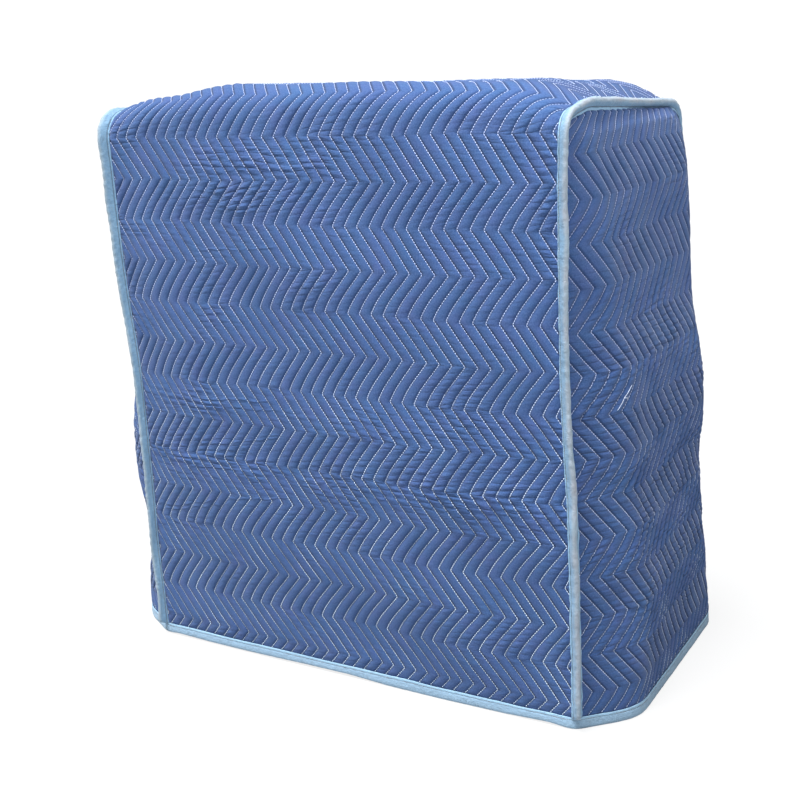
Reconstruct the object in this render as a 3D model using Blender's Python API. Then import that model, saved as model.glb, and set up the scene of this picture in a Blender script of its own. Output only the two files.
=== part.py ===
# Fitted moving pad cover: a tall box sewn of zigzag-quilted moving-pad cloth.
# One long main panel makes the front, the top and the back, two side panels close the ends,
# two folded bindings stand proud along the side seams, and a third closes the hem.
# Metres, +Z up, +Y to the back. The origin is the underside of the top, at its middle.
# Heights in the tables are measured up from a level 4 mm under the hem's lower edge.

from collections import namedtuple
from math import ceil, cos, hypot, pi, sin

import bmesh
import bpy
from mathutils import Vector

# --- sizes of the whole cover
TOP_UNDERSIDE = 1.172       # height of the origin above that level
FRONT_HEIGHT = 1.133        # side seam at the front top corner, before rounding
BACK_HEIGHT = 1.102
MIDDLE_DEPTH = 0.27         # the origin's depth behind the front seams
TOP_DEPTH = 0.545           # front seam to back seam along the top
HEM_DEPTH = 0.585           # the same at the hem, where the back stands out
FRONT_CORNER = 0.050        # radii of the seam's top corners
BACK_CORNER = 0.072
CROWN = 0.049               # how far the top's middle rises over its front seams
BACK_CROWN = 0.060          # and over its back ones
CROWN_CORNER = 0.006        # extra radius of the corners at the middle
FRONT_BULGE = 0.024
BACK_BULGE = 0.020
BACK_TOP_X = 0.500          # half widths at the back seams
BACK_HEM_X = 0.498

# --- cloth and quilting
CLOTH = 0.0050              # quilted cloth, from its mean outer face to its inner face
PUFF = 0.0015               # half the depth of the quilting relief
STITCH_PITCH = 0.0254       # stitch line to stitch line
ZIGZAG = 0.0288             # half the zigzag's sideways throw
FIRST_LINE = -0.4618        # a stitch line's mean place on the main panel
MAIN_WIDTH = 0.974
SIDE_WIDTH = 0.560
ROW_PITCH = 0.0797          # height of half a zigzag
LAST_ROW_HEIGHT = 0.054     # height of row 14, the lowest on the front
LAST_ROW = 14
TOP_ROWS = 6                # half zigzags between the front and back top corners
SIDE_ROW_PITCH = 0.0751
SIDE_LAST_ROW_HEIGHT = 0.077

# --- folded bindings
LIP = 0.0088                # seam line to the edge of each panel
HEM_FOOT = 0.004            # heights of the hem binding's lower and upper edge
HEM_TOP = 0.027
HEM_OUT = 0.0030            # hem binding outside and inside the cloth's outer face
HEM_IN = 0.0080
GAP = 0.0003
PANEL_FOOT = HEM_TOP + GAP

# How the cover hangs, by height: the front seams' places, how far the right one is set back,
# and how far each side panel swells past its seams and in how long a run it does so.
Section = namedtuple(
    "Section", "height left_x right_x right_back left_bulge right_bulge left_run right_run")
SECTIONS = (
    Section(0.00, -0.483, 0.492, 0.008, 0.096, 0.085, 0.075, 0.108),
    Section(0.10, -0.483, 0.494, 0.005, 0.092, 0.081, 0.085, 0.125),
    Section(0.22, -0.484, 0.494, 0.002, 0.080, 0.084, 0.105, 0.150),
    Section(0.33, -0.481, 0.494, 0.000, 0.092, 0.076, 0.085, 0.135),
    Section(0.43, -0.479, 0.492, 0.000, 0.092, 0.067, 0.082, 0.130),
    Section(0.53, -0.478, 0.487, 0.000, 0.081, 0.067, 0.090, 0.130),
    Section(0.64, -0.478, 0.482, 0.000, 0.069, 0.062, 0.110, 0.130),
    Section(0.76, -0.486, 0.481, 0.000, 0.056, 0.047, 0.140, 0.120),
    Section(0.88, -0.490, 0.481, 0.000, 0.042, 0.039, 0.170, 0.105),
    Section(1.00, -0.490, 0.482, 0.000, 0.022, 0.027, 0.200, 0.095),
    Section(1.08, -0.491, 0.484, 0.000, 0.010, 0.013, 0.200, 0.090),
    Section(1.14, -0.490, 0.484, 0.000, 0.002, 0.002, 0.200, 0.090),
)
BACK_GROWTH = 0.25          # extra swell towards the back, above the lowest quarter metre
BACK_RUN_HEM = 0.050        # the side panels' turn at the back, at the hem, above it and at the top
BACK_RUN = 0.120
BACK_RUN_TOP = 0.080
LEFT_LEAN = 0.35            # the left binding lies over to the front
BACK_LEAN = 0.35            # and both to the back there, past it near the top
BACK_LEAN_TOP = -0.10

CLOTH_BLUE = (0.105, 0.160, 0.360, 1.0)
BINDING_BLUE = (0.360, 0.560, 0.640, 1.0)


def clamp(value, low=0.0, high=1.0):
    return max(low, min(high, value))


def mix(start, end, share):
    return start + (end - start) * share


def read(column, height):
    """Smooth reading of one column of the sections table at a height."""
    last = len(SECTIONS) - 1
    cell = 0
    while cell < last - 1 and height > SECTIONS[cell + 1].height:
        cell += 1
    before, low, high, after = (
        getattr(SECTIONS[int(clamp(cell + step, 0, last))], column) for step in (-1, 0, 1, 2))
    span = SECTIONS[cell + 1].height - SECTIONS[cell].height
    share = clamp((height - SECTIONS[cell].height) / span)
    bend = high - before + share * (2 * before - 5 * low + 4 * high - after
                                    + share * (3 * (low - high) + after - before))
    return low + 0.5 * share * bend


def crown_share(s):
    """1 over most of the panel's width, falling to 0 at its two seams, where s is -1 and 1."""
    return 1.0 - s ** 6


# --- the girth: the line that the main panel takes up the front, over the top, down the back

def girth_parts(s):
    """Lengths and sizes of the girth's five parts at the place s across the panel."""
    crown = crown_share(s)
    front = FRONT_HEIGHT + CROWN * crown
    back = BACK_HEIGHT + BACK_CROWN * crown
    front_corner = FRONT_CORNER + CROWN_CORNER * crown
    back_corner = BACK_CORNER + CROWN_CORNER * crown
    rise = front - front_corner
    top = hypot(TOP_DEPTH - front_corner - back_corner, back - front)
    fall = hypot(back - back_corner, HEM_DEPTH - TOP_DEPTH)
    lengths = (rise, front_corner * pi / 2, top, back_corner * pi / 2, fall)
    return front, back, front_corner, back_corner, lengths


def girth_point(s, length):
    """(y, height, normal y, normal z) at a length along the girth, from the front hem."""
    front, back, front_corner, back_corner, lengths = girth_parts(s)
    rise, front_turn, top, back_turn, fall = lengths
    if length <= rise:
        return 0.0, length, -1.0, 0.0
    length -= rise
    if length <= front_turn:
        turn = length / front_corner
        return (front_corner * (1 - cos(turn)), front - front_corner * (1 - sin(turn)),
                -cos(turn), sin(turn))
    length -= front_turn
    if length <= top:
        share = length / top
        return (mix(front_corner, TOP_DEPTH - back_corner, share), mix(front, back, share),
                0.0, 1.0)
    length -= top
    if length <= back_turn:
        turn = length / back_corner
        return (TOP_DEPTH - back_corner * (1 - sin(turn)), back - back_corner * (1 - cos(turn)),
                sin(turn), cos(turn))
    share = (length - back_turn) / fall
    return mix(TOP_DEPTH, HEM_DEPTH, share), mix(back - back_corner, 0.0, share), 1.0, 0.0


def girth_length(s, row):
    """Length along the girth at which a row of the zigzag lies: 14 .. 1 up the front,
    0 .. -TOP_ROWS over the top, and the same again down the back."""
    total = sum(girth_parts(s)[4])
    shoulder = LAST_ROW_HEIGHT + (LAST_ROW - 1) * ROW_PITCH
    if row >= 0:
        return shoulder + (1 - row) * ROW_PITCH
    if row <= -TOP_ROWS:
        return total - shoulder - (1 + TOP_ROWS + row) * ROW_PITCH
    start = shoulder + ROW_PITCH
    return mix(start, total - start, -row / TOP_ROWS)


def swell(s, y, height, facing):
    """How far the front (facing 1) or the back (facing -1) swells past its seams."""
    depth = FRONT_BULGE if facing > 0 else BACK_BULGE
    return depth * crown_share(s) * sin(pi * clamp(height / FRONT_HEIGHT)) ** 0.8


# --- the side seams

def seam_x(side, y, height, normal_y):
    """Sideways place of a seam: the front run's table, then straight lines to the back."""
    column = "right_x" if side > 0 else "left_x"
    if normal_y < -0.01:
        return read(column, height)
    front_x = read(column, FRONT_HEIGHT)
    if normal_y < 0.01:
        return mix(front_x, side * BACK_TOP_X, y / TOP_DEPTH)
    return side * mix(BACK_HEM_X, BACK_TOP_X, clamp(height / BACK_HEIGHT))


def set_back(s, height, normal_y):
    """How far the front is set back of its plane, most at the foot of the right seam."""
    return read("right_back", height) * ((s + 1) / 2) ** 3 * max(-normal_y, 0.0)


def seam_point(side, length):
    y, height, normal_y, _ = girth_point(1.0, length)
    x = seam_x(side, y, height, normal_y)
    y += set_back(side, height, normal_y)
    return Vector((x, y - MIDDLE_DEPTH, height - TOP_UNDERSIDE))


def seam_frame(side, length):
    """A seam's point, the way its binding stands out, and the way across towards the main panel."""
    step = 0.004
    total = sum(girth_parts(1.0)[4])
    along = (seam_point(side, min(length + step, total)) - seam_point(side, max(length - step, 0.0)))
    along.normalize()
    _, height, normal_y, normal_z = girth_point(1.0, length)
    slope = side_slope(side, height) * clamp(1.0 - normal_z * 1.5)
    lean = LEFT_LEAN if side < 0 else 1.0
    main_normal = Vector((side * 0.25, normal_y, normal_z)).normalized()
    side_normal = Vector((side, slope * (1 if normal_y > 0 else -1), 0.0)).normalized()
    back_lean = mix(BACK_LEAN, BACK_LEAN_TOP, clamp((height - 0.80) / 0.20))
    lean = mix(mix(1.0, lean, max(-normal_y, 0.0)), back_lean, max(normal_y, 0.0))
    out = main_normal + side_normal * lean
    out = (out - along * out.dot(along)).normalized()
    across = along.cross(out).normalized()
    if across.x * side > 0:
        across.negate()
    if abs(normal_y) > 0.99:
        out = Vector((out.x, out.y, 0.0)).normalized()
        across = Vector((across.x, across.y, 0.0)).normalized()
    return seam_point(side, length), out, across


def side_slope(side, height):
    """How steeply a side panel leaves its front seam, sideways per depth."""
    name = "right" if side > 0 else "left"
    return 0.9 * read(name + "_bulge", height) / read(name + "_run", height)


# --- the main panel

def main_point(s, row):
    """Mean outer face of the main panel at s across it and at a row of the zigzag."""
    y, height, normal_y, normal_z = girth_point(s, girth_length(s, row))
    facing = -1 if normal_y > 0 else 1
    lift = swell(s, y, height, facing) * abs(normal_y)
    left, right = (seam_frame(side, girth_length(1.0, row)) for side in (-1, 1))
    x = mix(left[0].x, right[0].x, (s + 1) / 2)
    y += set_back(s, height, normal_y)
    point = Vector((x, y - MIDDLE_DEPTH + normal_y * lift,
                    height - TOP_UNDERSIDE + normal_z * lift))
    near = right if s > 0 else left
    return point + near[2] * (LIP * abs(s) ** 10)


def surface_normal(place, u, v, outward, level=()):
    """Unit normal of place(u, v), on the side that outward(point) points to, and kept level
    at the values of v in level, so that a lower edge stays flat."""
    step = 0.002
    along_u = place(min(u + step, 1.0), v) - place(max(u - step, 0.0), v)
    along_v = place(u, min(v + step, 1.0)) - place(u, max(v - step, 0.0))
    normal = along_u.cross(along_v).normalized()
    if normal.dot(outward(place(u, v))) < 0:
        normal.negate()
    if v in level:
        normal.z = 0.0
        normal.normalize()
    return normal


def from_middle(point):
    """Rough way out of the cover, from a place inside it."""
    return Vector((point.x, point.y, point.z + 0.3))


def sideways(point):
    return Vector((point.x, 0.0, 0.0))


def triangle_wave(row):
    """1 at even rows and -1 at odd ones."""
    phase = row % 2.0
    return 1.0 - 2.0 * min(phase, 2.0 - phase)


# --- the side panels

def side_edge(side, length):
    point, _, across = seam_frame(side, length)
    return point - across * LIP


def side_point(side, v, length):
    """Mean outer face of a side panel: v from its front edge to its back one, at a length
    up both of its seams."""
    total = sum(girth_parts(1.0)[4])
    front = side_edge(side, length)
    back = side_edge(side, total - length)
    point = front.lerp(back, v)
    height = point.z + TOP_UNDERSIDE
    name = "right" if side > 0 else "left"
    depth = back.y - front.y
    back_run = mix(BACK_RUN_HEM, BACK_RUN, clamp(height / 0.25))
    back_run = mix(back_run, BACK_RUN_TOP, clamp((height - 0.70) / 0.25))
    rise = sin(pi / 2 * clamp(v * depth / read(name + "_run", height))) ** 1.2
    turn = sin(pi / 2 * clamp((1 - v) * depth / back_run))
    turn *= 1 + BACK_GROWTH * v * clamp((height - 0.25) / 0.25)
    below_top = clamp((FRONT_HEIGHT - height) / 0.05)
    point.x += side * read(name + "_bulge", height) * rise * turn * below_top
    return point


# --- building the meshes

def lattice(mesh, columns, rows, place):
    """A grid primitive whose points are moved to place(u, v); gives its vertices by column."""
    made = bmesh.ops.create_grid(mesh, x_segments=columns, y_segments=rows, size=0.5)["verts"]
    by_place = {}
    for vert in made:
        column = round((vert.co.x + 0.5) * columns)
        row = round((vert.co.y + 0.5) * rows)
        by_place[column, row] = vert
        vert.co = place(column / columns, row / rows)
    return by_place


def zip_edges(mesh, first, second):
    """Closes the gap between two rows of vertices that may differ in number."""
    one = two = 0
    while one < len(first) - 1 or two < len(second) - 1:
        ahead_one = (one + 1) / (len(first) - 1) if one < len(first) - 1 else 9.0
        ahead_two = (two + 1) / (len(second) - 1) if two < len(second) - 1 else 9.0
        if abs(ahead_one - ahead_two) < 1e-6:
            mesh.faces.new((first[one], first[one + 1], second[two + 1], second[two]))
            one += 1
            two += 1
        elif ahead_one < ahead_two:
            mesh.faces.new((first[one], first[one + 1], second[two]))
            one += 1
        else:
            mesh.faces.new((first[one], second[two + 1], second[two]))
            two += 1


def cloth_sheet(name, columns, inner_columns, rows, outer, inner, material, collection):
    """A closed sheet: a fine outer face and a coarser inner one, joined round their borders."""
    mesh = bmesh.new()
    out = lattice(mesh, columns, rows, outer)
    back = lattice(mesh, inner_columns, rows, inner)
    for row in (0, rows):
        zip_edges(mesh, [out[c, row] for c in range(columns + 1)],
                  [back[c, row] for c in range(inner_columns + 1)])
    for share in (0, 1):
        zip_edges(mesh, [out[share * columns, r] for r in range(rows + 1)],
                  [back[share * inner_columns, r] for r in range(rows + 1)])
    return finish(name, mesh, material, collection)


def swept_bar(name, stations, section, closed, material, collection):
    """A bar of one section carried along stations of (point, out, across)."""
    mesh = bmesh.new()
    rings = [[mesh.verts.new(point + out * d + across * e) for d, e in section]
             for point, out, across in stations]
    pairs = list(zip(rings, rings[1:] + rings[:1])) if closed else list(zip(rings, rings[1:]))
    sides = len(section)
    for ring, following in pairs:
        for corner in range(sides):
            after = (corner + 1) % sides
            mesh.faces.new((ring[corner], ring[after], following[after], following[corner]))
    if not closed:
        mesh.faces.new(rings[0])
        mesh.faces.new(rings[-1])
    return finish(name, mesh, material, collection)


def finish(name, mesh, material, collection):
    bmesh.ops.recalc_face_normals(mesh, faces=mesh.faces)
    data = bpy.data.meshes.new(name)
    mesh.to_mesh(data)
    mesh.free()
    data.shade_smooth()
    data.set_sharp_from_angle(angle=pi / 4)
    data.materials.append(material)
    piece = bpy.data.objects.new(name, data)
    collection.objects.link(piece)
    return piece


def make_material(name, colour, roughness):
    material = bpy.data.materials.new(name)
    material.use_nodes = True
    material.diffuse_color = colour
    shader = material.node_tree.nodes["Principled BSDF"]
    shader.inputs["Base Color"].default_value = colour
    shader.inputs["Roughness"].default_value = roughness
    shader.inputs["Metallic"].default_value = 0.0
    return material


# --- the pieces

TOP_STOPS = (1.46, 1.2, 1, 0.75, 0.5, 0.25, 0, -0.25)    # the first is the sides' top row
SIDE_TOP_ROW = 0.25         # the side panels end where the seam has turned onto the top


def row_stops():
    """Rows of the zigzag from the front hem to the back hem, with more of them at the corners."""
    foot = LAST_ROW + (LAST_ROW_HEIGHT - PANEL_FOOT) / ROW_PITCH
    front = [foot] + list(range(LAST_ROW, 1, -1)) + list(TOP_STOPS)
    middle = [-row for row in range(1, TOP_ROWS)]
    return front + middle + [-TOP_ROWS - row for row in reversed(front)]


def stop_at(stops, v):
    """Reading of a list of stops at v from 0 to 1, evenly from stop to stop."""
    cell = min(int(v * (len(stops) - 1)), len(stops) - 2)
    return mix(stops[cell], stops[cell + 1], v * (len(stops) - 1) - cell)


def main_panel(material, collection):
    stops = row_stops()
    columns = ceil((MAIN_WIDTH / 2 - FIRST_LINE) / (STITCH_PITCH / 2)) + 2
    inner_columns = 20

    def mean(u, v):
        return main_point(2 * u - 1, stop_at(stops, v))

    def outer(u, v):
        column = round(u * columns)
        across = FIRST_LINE + (column - 2) * STITCH_PITCH / 2
        across = clamp(across, -MAIN_WIDTH / 2, MAIN_WIDTH / 2)
        edge = MAIN_WIDTH / 2 - abs(across)
        across += ZIGZAG * triangle_wave(stop_at(stops, v)) * clamp(edge / (3 * STITCH_PITCH))
        spot = across / MAIN_WIDTH + 0.5
        ridge = PUFF * (1 if column % 2 else -1) * clamp(edge / STITCH_PITCH)
        return mean(spot, v) + surface_normal(mean, spot, v, from_middle, (0.0, 1.0)) * ridge

    def inner(u, v):
        return mean(u, v) - surface_normal(mean, u, v, from_middle, (0.0, 1.0)) * CLOTH

    return cloth_sheet("main_panel", columns, inner_columns, len(stops) - 1, outer, inner,
                       material, collection)


def side_panel(side, material, collection):
    top_rows = [row for row in TOP_STOPS[1:] if row >= SIDE_TOP_ROW]
    stops = [PANEL_FOOT] + [SIDE_LAST_ROW_HEIGHT + k * SIDE_ROW_PITCH for k in range(LAST_ROW)]
    stops += [girth_length(1.0, row) for row in top_rows]
    rows = len(stops) - 1
    columns = 46
    inner_columns = 12

    def mean(u, v):
        return side_point(side, u, stop_at(stops, v))

    def outer(u, v):
        edge = min(u, 1 - u)
        row = LAST_ROW - (stop_at(stops, v) - SIDE_LAST_ROW_HEIGHT) / SIDE_ROW_PITCH
        below_top = clamp((1 - v) * rows / 5)
        shift = ZIGZAG / SIDE_WIDTH * triangle_wave(row) * clamp(edge / 0.36) * below_top
        spot = u + shift
        ridge = PUFF * (1 if round(u * columns) % 2 else -1)
        ridge *= clamp(edge * columns / 2) * below_top * clamp(v * rows)
        return mean(spot, v) + surface_normal(mean, spot, v, sideways, (0.0,)) * ridge

    def inner(u, v):
        return mean(u, v) - surface_normal(mean, u, v, sideways, (0.0,)) * CLOTH

    name = "side_panel_right" if side > 0 else "side_panel_left"
    return cloth_sheet(name, columns, inner_columns, rows, outer, inner, material, collection)


# Folded binding's section: how far out of the seam, and half its thickness there.
Fold = namedtuple("Fold", "out half")
FOLDS = (Fold(0.0, 0.0080), Fold(0.006, 0.0060), Fold(0.012, 0.0070), Fold(0.018, 0.0052))
FOLD_ROOT = -0.0045
FOLD_TIP = 0.0212


def seam_binding(side, material, collection):
    section = [(FOLD_ROOT, 0.0)] + [(fold.out, fold.half) for fold in FOLDS] + [(FOLD_TIP, 0.0)]
    section += [(fold.out, -fold.half) for fold in reversed(FOLDS)]
    stations = [seam_frame(side, girth_length(1.0, row)) for row in row_stops()]
    name = "seam_binding_right" if side > 0 else "seam_binding_left"
    return swept_bar(name, stations, section, False, material, collection)


def hem_outline():
    """Plan of the cover's outer face at the hem, anticlockwise seen from above."""
    front_foot, back_foot = row_stops()[0], row_stops()[-1]
    across = [-1.0, -0.965, -0.9, -0.8, -0.6, -0.4, -0.2, 0.0, 0.2, 0.4, 0.6, 0.8, 0.9, 0.965, 1.0]
    depth = [0.0, 0.035, 0.07, 0.11, 0.16, 0.22, 0.3, 0.42, 0.55, 0.68, 0.8, 0.87, 0.92, 0.96, 1.0]
    plan = [main_point(s, front_foot) for s in across]
    plan += [side_point(1, v, PANEL_FOOT) for v in depth]
    plan += [main_point(-s, back_foot) for s in across]
    plan += [side_point(-1, 1 - v, PANEL_FOOT) for v in depth]
    return plan


def hem_binding(material, collection):
    plan = hem_outline()
    stations = []
    for index, point in enumerate(plan):
        before = plan[index - 1]
        after = plan[(index + 1) % len(plan)]
        along = ((point - before).normalized() + (after - point).normalized()).normalized()
        out = Vector((along.y, -along.x, 0.0)).normalized()
        stations.append((Vector((point.x, point.y, HEM_FOOT - TOP_UNDERSIDE)), out, Vector((0.0, 0.0, 1.0))))
    tall = HEM_TOP - HEM_FOOT
    edge = 0.003
    section = [(-HEM_IN, edge), (-HEM_IN + edge, 0.0), (HEM_OUT - edge, 0.0), (HEM_OUT, edge),
               (HEM_OUT, tall - edge), (HEM_OUT - edge, tall),
               (-HEM_IN + edge, tall), (-HEM_IN, tall - edge)]
    return swept_bar("hem_binding", stations, section, True, material, collection)


def build():
    for old in list(bpy.data.objects):
        bpy.data.objects.remove(old)
    collection = bpy.data.collections.new("fitted_moving_pad_cover")
    bpy.context.scene.collection.children.link(collection)
    cloth = make_material("quilted_cloth", CLOTH_BLUE, 0.9)
    tape = make_material("binding_tape", BINDING_BLUE, 0.75)
    main_panel(cloth, collection)
    for side in (1, -1):
        side_panel(side, cloth, collection)
        seam_binding(side, tape, collection)
    hem_binding(tape, collection)


build()
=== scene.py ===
from math import pi, radians

import bmesh
import bpy
import numpy as np
from mathutils import Matrix, Vector


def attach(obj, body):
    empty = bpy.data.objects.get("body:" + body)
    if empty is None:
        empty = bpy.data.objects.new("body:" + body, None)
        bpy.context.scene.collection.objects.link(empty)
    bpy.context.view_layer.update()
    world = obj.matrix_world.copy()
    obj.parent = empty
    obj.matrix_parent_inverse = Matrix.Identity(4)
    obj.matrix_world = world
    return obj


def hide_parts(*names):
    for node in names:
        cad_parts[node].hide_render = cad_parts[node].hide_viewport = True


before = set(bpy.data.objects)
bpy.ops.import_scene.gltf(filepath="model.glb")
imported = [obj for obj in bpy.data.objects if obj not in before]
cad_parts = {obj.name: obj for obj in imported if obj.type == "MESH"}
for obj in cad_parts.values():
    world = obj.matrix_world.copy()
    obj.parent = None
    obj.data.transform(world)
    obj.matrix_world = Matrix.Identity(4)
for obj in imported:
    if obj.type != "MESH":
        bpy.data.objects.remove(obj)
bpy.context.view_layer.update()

print("frame loaded:", len(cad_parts), "nodes")

# ---- how the cover hangs; metres, heights counted from just under the hem

cover = {
    "topUnderside": 1.172, "frontHeight": 1.133, "backHeight": 1.102, "middleDepth": 0.27,
    "topDepth": 0.545, "hemDepth": 0.585, "frontCorner": 0.050, "backCorner": 0.072, "slouch": 0.012,
    "crown": 0.049, "backCrown": 0.060, "crownCorner": 0.006, "frontBulge": 0.024, "backBulge": 0.020,
    "backTopX": 0.500, "backHemX": 0.498, "lip": 0.0076, "foot": 0.0273,
    "leftLean": 0.35, "backLean": 0.35, "backLeanTop": -0.10,
    "backRunHem": 0.050, "backRun": 0.120, "backRunTop": 0.080, "backGrowth": 0.25,
}

hang = {
    "height": [0.00, 0.10, 0.22, 0.33, 0.43, 0.53, 0.64, 0.76, 0.88, 1.00, 1.08, 1.14],
    "leftX": [-0.483, -0.483, -0.484, -0.481, -0.479, -0.478, -0.478, -0.486, -0.490, -0.490, -0.491, -0.490],
    "rightX": [0.492, 0.494, 0.494, 0.494, 0.492, 0.487, 0.482, 0.481, 0.481, 0.482, 0.484, 0.484],
    "rightBack": [0.008, 0.005, 0.002, 0, 0, 0, 0, 0, 0, 0, 0, 0],
    "leftBulge": [0.096, 0.092, 0.080, 0.092, 0.092, 0.081, 0.069, 0.056, 0.042, 0.022, 0.010, 0.002],
    "rightBulge": [0.085, 0.081, 0.084, 0.076, 0.067, 0.067, 0.062, 0.047, 0.039, 0.027, 0.013, 0.002],
    "leftRun": [0.075, 0.085, 0.105, 0.085, 0.082, 0.090, 0.110, 0.140, 0.170, 0.200, 0.200, 0.200],
    "rightRun": [0.108, 0.125, 0.150, 0.135, 0.130, 0.130, 0.130, 0.120, 0.105, 0.095, 0.090, 0.090],
}


def mix(start, end, share):
    return start + (end - start) * share


def clamp(value):
    # kept between 0 and 1
    return np.clip(value, 0, 1)


def unit(ways):
    return ways / np.linalg.norm(ways, axis=-1, keepdims=True)


def hand(side):
    return "right" if side > 0 else "left"


def fromTable(name, height):
    knots, values = np.array(hang["height"]), np.array(hang[name], float)
    cell = np.searchsorted(knots[1:-1], height, side="left")
    before, low = values[np.maximum(cell - 1, 0)], values[cell]
    high, after = values[cell + 1], values[np.minimum(cell + 2, len(values) - 1)]
    share = clamp((height - knots[cell]) / (knots[cell + 1] - knots[cell]))
    bend = high - before + share * (2 * before - 5 * low + 4 * high - after
                                    + share * (3 * (low - high) + after - before))
    return low + 0.5 * share * bend


def girthParts(s):
    share = 1 - s ** 6
    front = cover["frontHeight"] + cover["crown"] * share
    back = cover["backHeight"] + cover["backCrown"] * share
    frontCorner = cover["frontCorner"] + cover["crownCorner"] * share
    backCorner = cover["backCorner"] + cover["crownCorner"] * share
    rise = front - frontCorner
    top = np.hypot(cover["topDepth"] - frontCorner - backCorner, back - front)
    fall = np.hypot(back - backCorner, cover["hemDepth"] - cover["topDepth"])
    return front, back, frontCorner, backCorner, (rise, frontCorner * pi / 2, top, backCorner * pi / 2, fall)


def girthPoint(s, length):
    # depth, height and the two parts of the way out, at a length up the front, over and down the back
    front, back, frontCorner, backCorner, (rise, frontTurn, top, backTurn, fall) = girthParts(s)
    one, two = rise, rise + frontTurn
    three, four = two + top, two + top + backTurn
    turn = np.clip((length - one) / frontCorner, 0, pi / 2)
    over = clamp((length - two) / top)
    bend = np.clip((length - three) / backCorner, 0, pi / 2)
    down = (length - four) / fall
    where = [length <= one, length <= two, length <= three, length <= four]
    zero = np.zeros_like(length)
    depth = np.select(where, [zero, frontCorner * (1 - np.cos(turn)),
                              mix(frontCorner, cover["topDepth"] - backCorner, over),
                              cover["topDepth"] - backCorner * (1 - np.sin(bend))],
                      mix(cover["topDepth"], cover["hemDepth"], down))
    height = np.select(where, [length + zero, front - frontCorner * (1 - np.sin(turn)),
                               mix(front, back, over), back - backCorner * (1 - np.cos(bend))],
                       (back - backCorner) * (1 - down))
    outY = np.select(where, [zero - 1, -np.cos(turn), zero, np.sin(bend)], zero + 1)
    outZ = np.select(where, [zero, np.sin(turn), zero + 1, np.cos(bend)], zero)
    return depth, height, outY, outZ


def slouchAt(depth, outZ):
    # how far the cover has sunk by its right front top corner
    return cover["slouch"] * clamp(outZ) ** 1.5 * np.exp(-((depth - 0.035) / 0.038) ** 2)


# ---- the zigzag: even rows point right, odd rows left; lines are straight one way and bowed the other

quilt = {
    "pitch": 0.0254, "throw": 0.0288, "bow": 0.082, "rowPitch": 0.0797, "lastRow": 14,
    "lastRowHeight": 0.054, "topRows": 6, "firstLine": -0.4608, "width": 0.974,
    "sideRowPitch": 0.0751, "sideLastRowHeight": 0.077, "sideFirstLine": 0.0469, "sideTopRow": 0.25,
}


def girthLength(s, row):
    total = sum(girthParts(s)[4])
    shoulder = quilt["lastRowHeight"] + (quilt["lastRow"] - 1) * quilt["rowPitch"]
    start = shoulder + quilt["rowPitch"]
    down = total - shoulder - (1 + quilt["topRows"] + row) * quilt["rowPitch"]
    return np.select([row >= 0, row <= -quilt["topRows"]], [shoulder + (1 - row) * quilt["rowPitch"], down],
                     mix(start, total - start, -row / quilt["topRows"]))


def zigzag(row, turned=False):
    # the side panels' cloth is cut the other way up, which turns the bow over
    phase = np.mod(row, 2.0)
    way = clamp(phase)
    bend = quilt["bow"] * np.sin(pi * way) * (1.3 - 1.2 * way if turned else 0.1 + 1.2 * way)
    bowed = phase - bend if turned else phase + bend
    return quilt["throw"] * np.where(phase < 1, 1 - 2 * bowed, 2 * phase - 3)


def ripple(x, y, size, seed, waves=7):
    # a smooth uneven field, about -1 to 1, with bumps of the given size
    rng = np.random.default_rng(seed)
    total = np.zeros(np.broadcast(x, y).shape)
    for k in range(waves):
        way, stretch, phase = rng.uniform(0, pi), rng.uniform(0.6, 1.7), rng.uniform(0, 2 * pi)
        total = total + np.sin((x * np.cos(way) + y * np.sin(way)) * 2 * pi * stretch / (2.4 * size) + phase)
    return total / np.sqrt(waves) * 0.9


# ---- the seams

def seamX(side, depth, height, outY):
    column = hand(side) + "X"
    frontTop = fromTable(column, np.array(cover["frontHeight"]))
    top = mix(frontTop, side * cover["backTopX"], depth / cover["topDepth"])
    back = side * mix(cover["backHemX"], cover["backTopX"], clamp(height / cover["backHeight"]))
    return np.select([outY < -0.01, outY < 0.01], [fromTable(column, height), top], back)


def setBack(s, height, outY):
    return fromTable("rightBack", height) * ((s + 1) / 2) ** 3 * clamp(-outY)


def seamPoint(side, length, sag=1.0):
    depth, height, outY, outZ = girthPoint(np.ones_like(length), length)
    x = seamX(side, depth, height, outY)
    height = height - (sag * slouchAt(depth, outZ) if side > 0 else 0)
    depth = depth + setBack(side, height, outY)
    return np.stack([x, depth - cover["middleDepth"], height - cover["topUnderside"]], -1)


def seamFrame(side, length, sag=1.0):
    # the seam's point, the way its binding stands out, and the way across to the main panel
    length = np.asarray(length, float)
    total = sum(girthParts(1.0)[4])
    along = unit(seamPoint(side, np.minimum(length + 0.004, total), sag)
                 - seamPoint(side, np.maximum(length - 0.004, 0), sag))
    _, height, outY, outZ = girthPoint(np.ones_like(length), length)
    slope = 0.9 * fromTable(hand(side) + "Bulge", height) / fromTable(hand(side) + "Run", height)
    slope = slope * clamp(1 - 1.5 * outZ)
    lean = mix(1.0, cover["leftLean"] if side < 0 else 1.0, clamp(-outY))
    backLean = mix(cover["backLean"], cover["backLeanTop"], clamp((height - 0.80) / 0.20))
    lean = mix(lean, backLean, clamp(outY))
    mainOut = unit(np.stack([np.full_like(outY, side * 0.25), outY, outZ], -1))
    sideOut = unit(np.stack([np.full_like(outY, side), slope * np.where(outY > 0, 1, -1), 0 * outY], -1))
    out = mainOut + sideOut * lean[:, None]
    out = unit(out - along * (along * out).sum(-1, keepdims=True))
    across = unit(np.cross(along, out))
    across *= np.where(across[:, :1] * side > 0, -1, 1)
    level = np.abs(outY)[:, None] > 0.99
    flatten = np.array([1, 1, 0.0])
    out = np.where(level, unit(out * flatten), out)
    across = np.where(level, unit(across * flatten), across)
    return seamPoint(side, length, sag), out, across


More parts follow.
